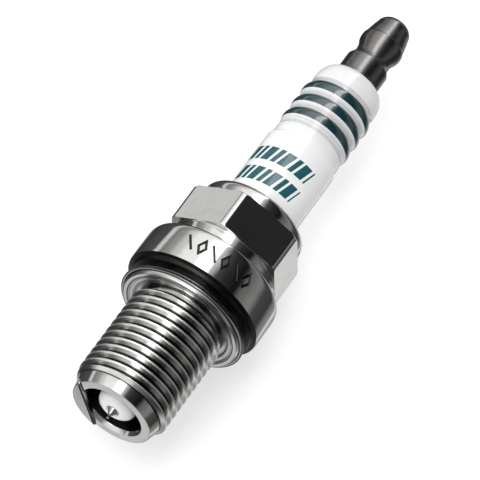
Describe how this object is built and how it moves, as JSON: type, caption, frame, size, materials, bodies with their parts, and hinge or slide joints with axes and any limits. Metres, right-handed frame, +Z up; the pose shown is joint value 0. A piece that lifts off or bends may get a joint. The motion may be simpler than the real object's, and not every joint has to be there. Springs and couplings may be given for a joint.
{
  "type": "spark plug",
  "caption": "Resistor spark plug with a threaded steel shell, hexagon, ribbed white insulator, fine-wire centre electrode and screw-on terminal.",
  "frame": {"origin": "on the plug's axis, in the plane of the shell's seat that the gasket is squeezed against", "axes": "+X along the axis from the firing end to the terminal; +Z up through a corner of the hexagon; +Y through one of its flats"},
  "size_m": [0.0733, 0.02, 0.0202],
  "materials": {
    "nickel_shell": "bright nickel plate",
    "gasket_steel": "bright plated sheet steel",
    "electrode_alloy": "satin nickel alloy",
    "white_glaze": "gloss white glaze with dark teal bands",
    "copper": "plain copper",
    "noble_metal": "fine bright wire",
    "seal_glass": "fused dark glass",
    "resistor_carbon": "matt carbon-filled glass",
    "dark_steel": "dark polished steel",
    "ring_steel": "plain steel",
    "talc": "pressed matt powder"
  },
  "bodies": {
    "plug_body": {"shell": "nickel_shell", "ground_electrode": "electrode_alloy", "insulator": "white_glaze", "centre_electrode": "electrode_alloy", "electrode_core": "copper", "iridium_tip": "noble_metal", "lower_glass_seal": "seal_glass", "resistor_element": "resistor_carbon", "upper_glass_seal": "seal_glass", "terminal_stud": "dark_steel", "lower_packing_washer": "ring_steel", "lower_wire_ring": "ring_steel", "talc_seal": "talc", "upper_wire_ring": "ring_steel"},
    "gasket": {"gasket_ring": "gasket_steel"},
    "terminal": {"terminal_nut": "dark_steel"}
  },
  "joints": [
    {"name": "gasket_turn", "type": "hinge", "parent": "plug_body", "child": "gasket", "pos_m": [0, 0, 0], "axis": [1, 0, 0], "continuous": true},
    {"name": "terminal_unscrew", "type": "slide", "parent": "plug_body", "child": "terminal", "axis": [1, 0, 0], "range_m": [0, 0.0085]}
  ]
}
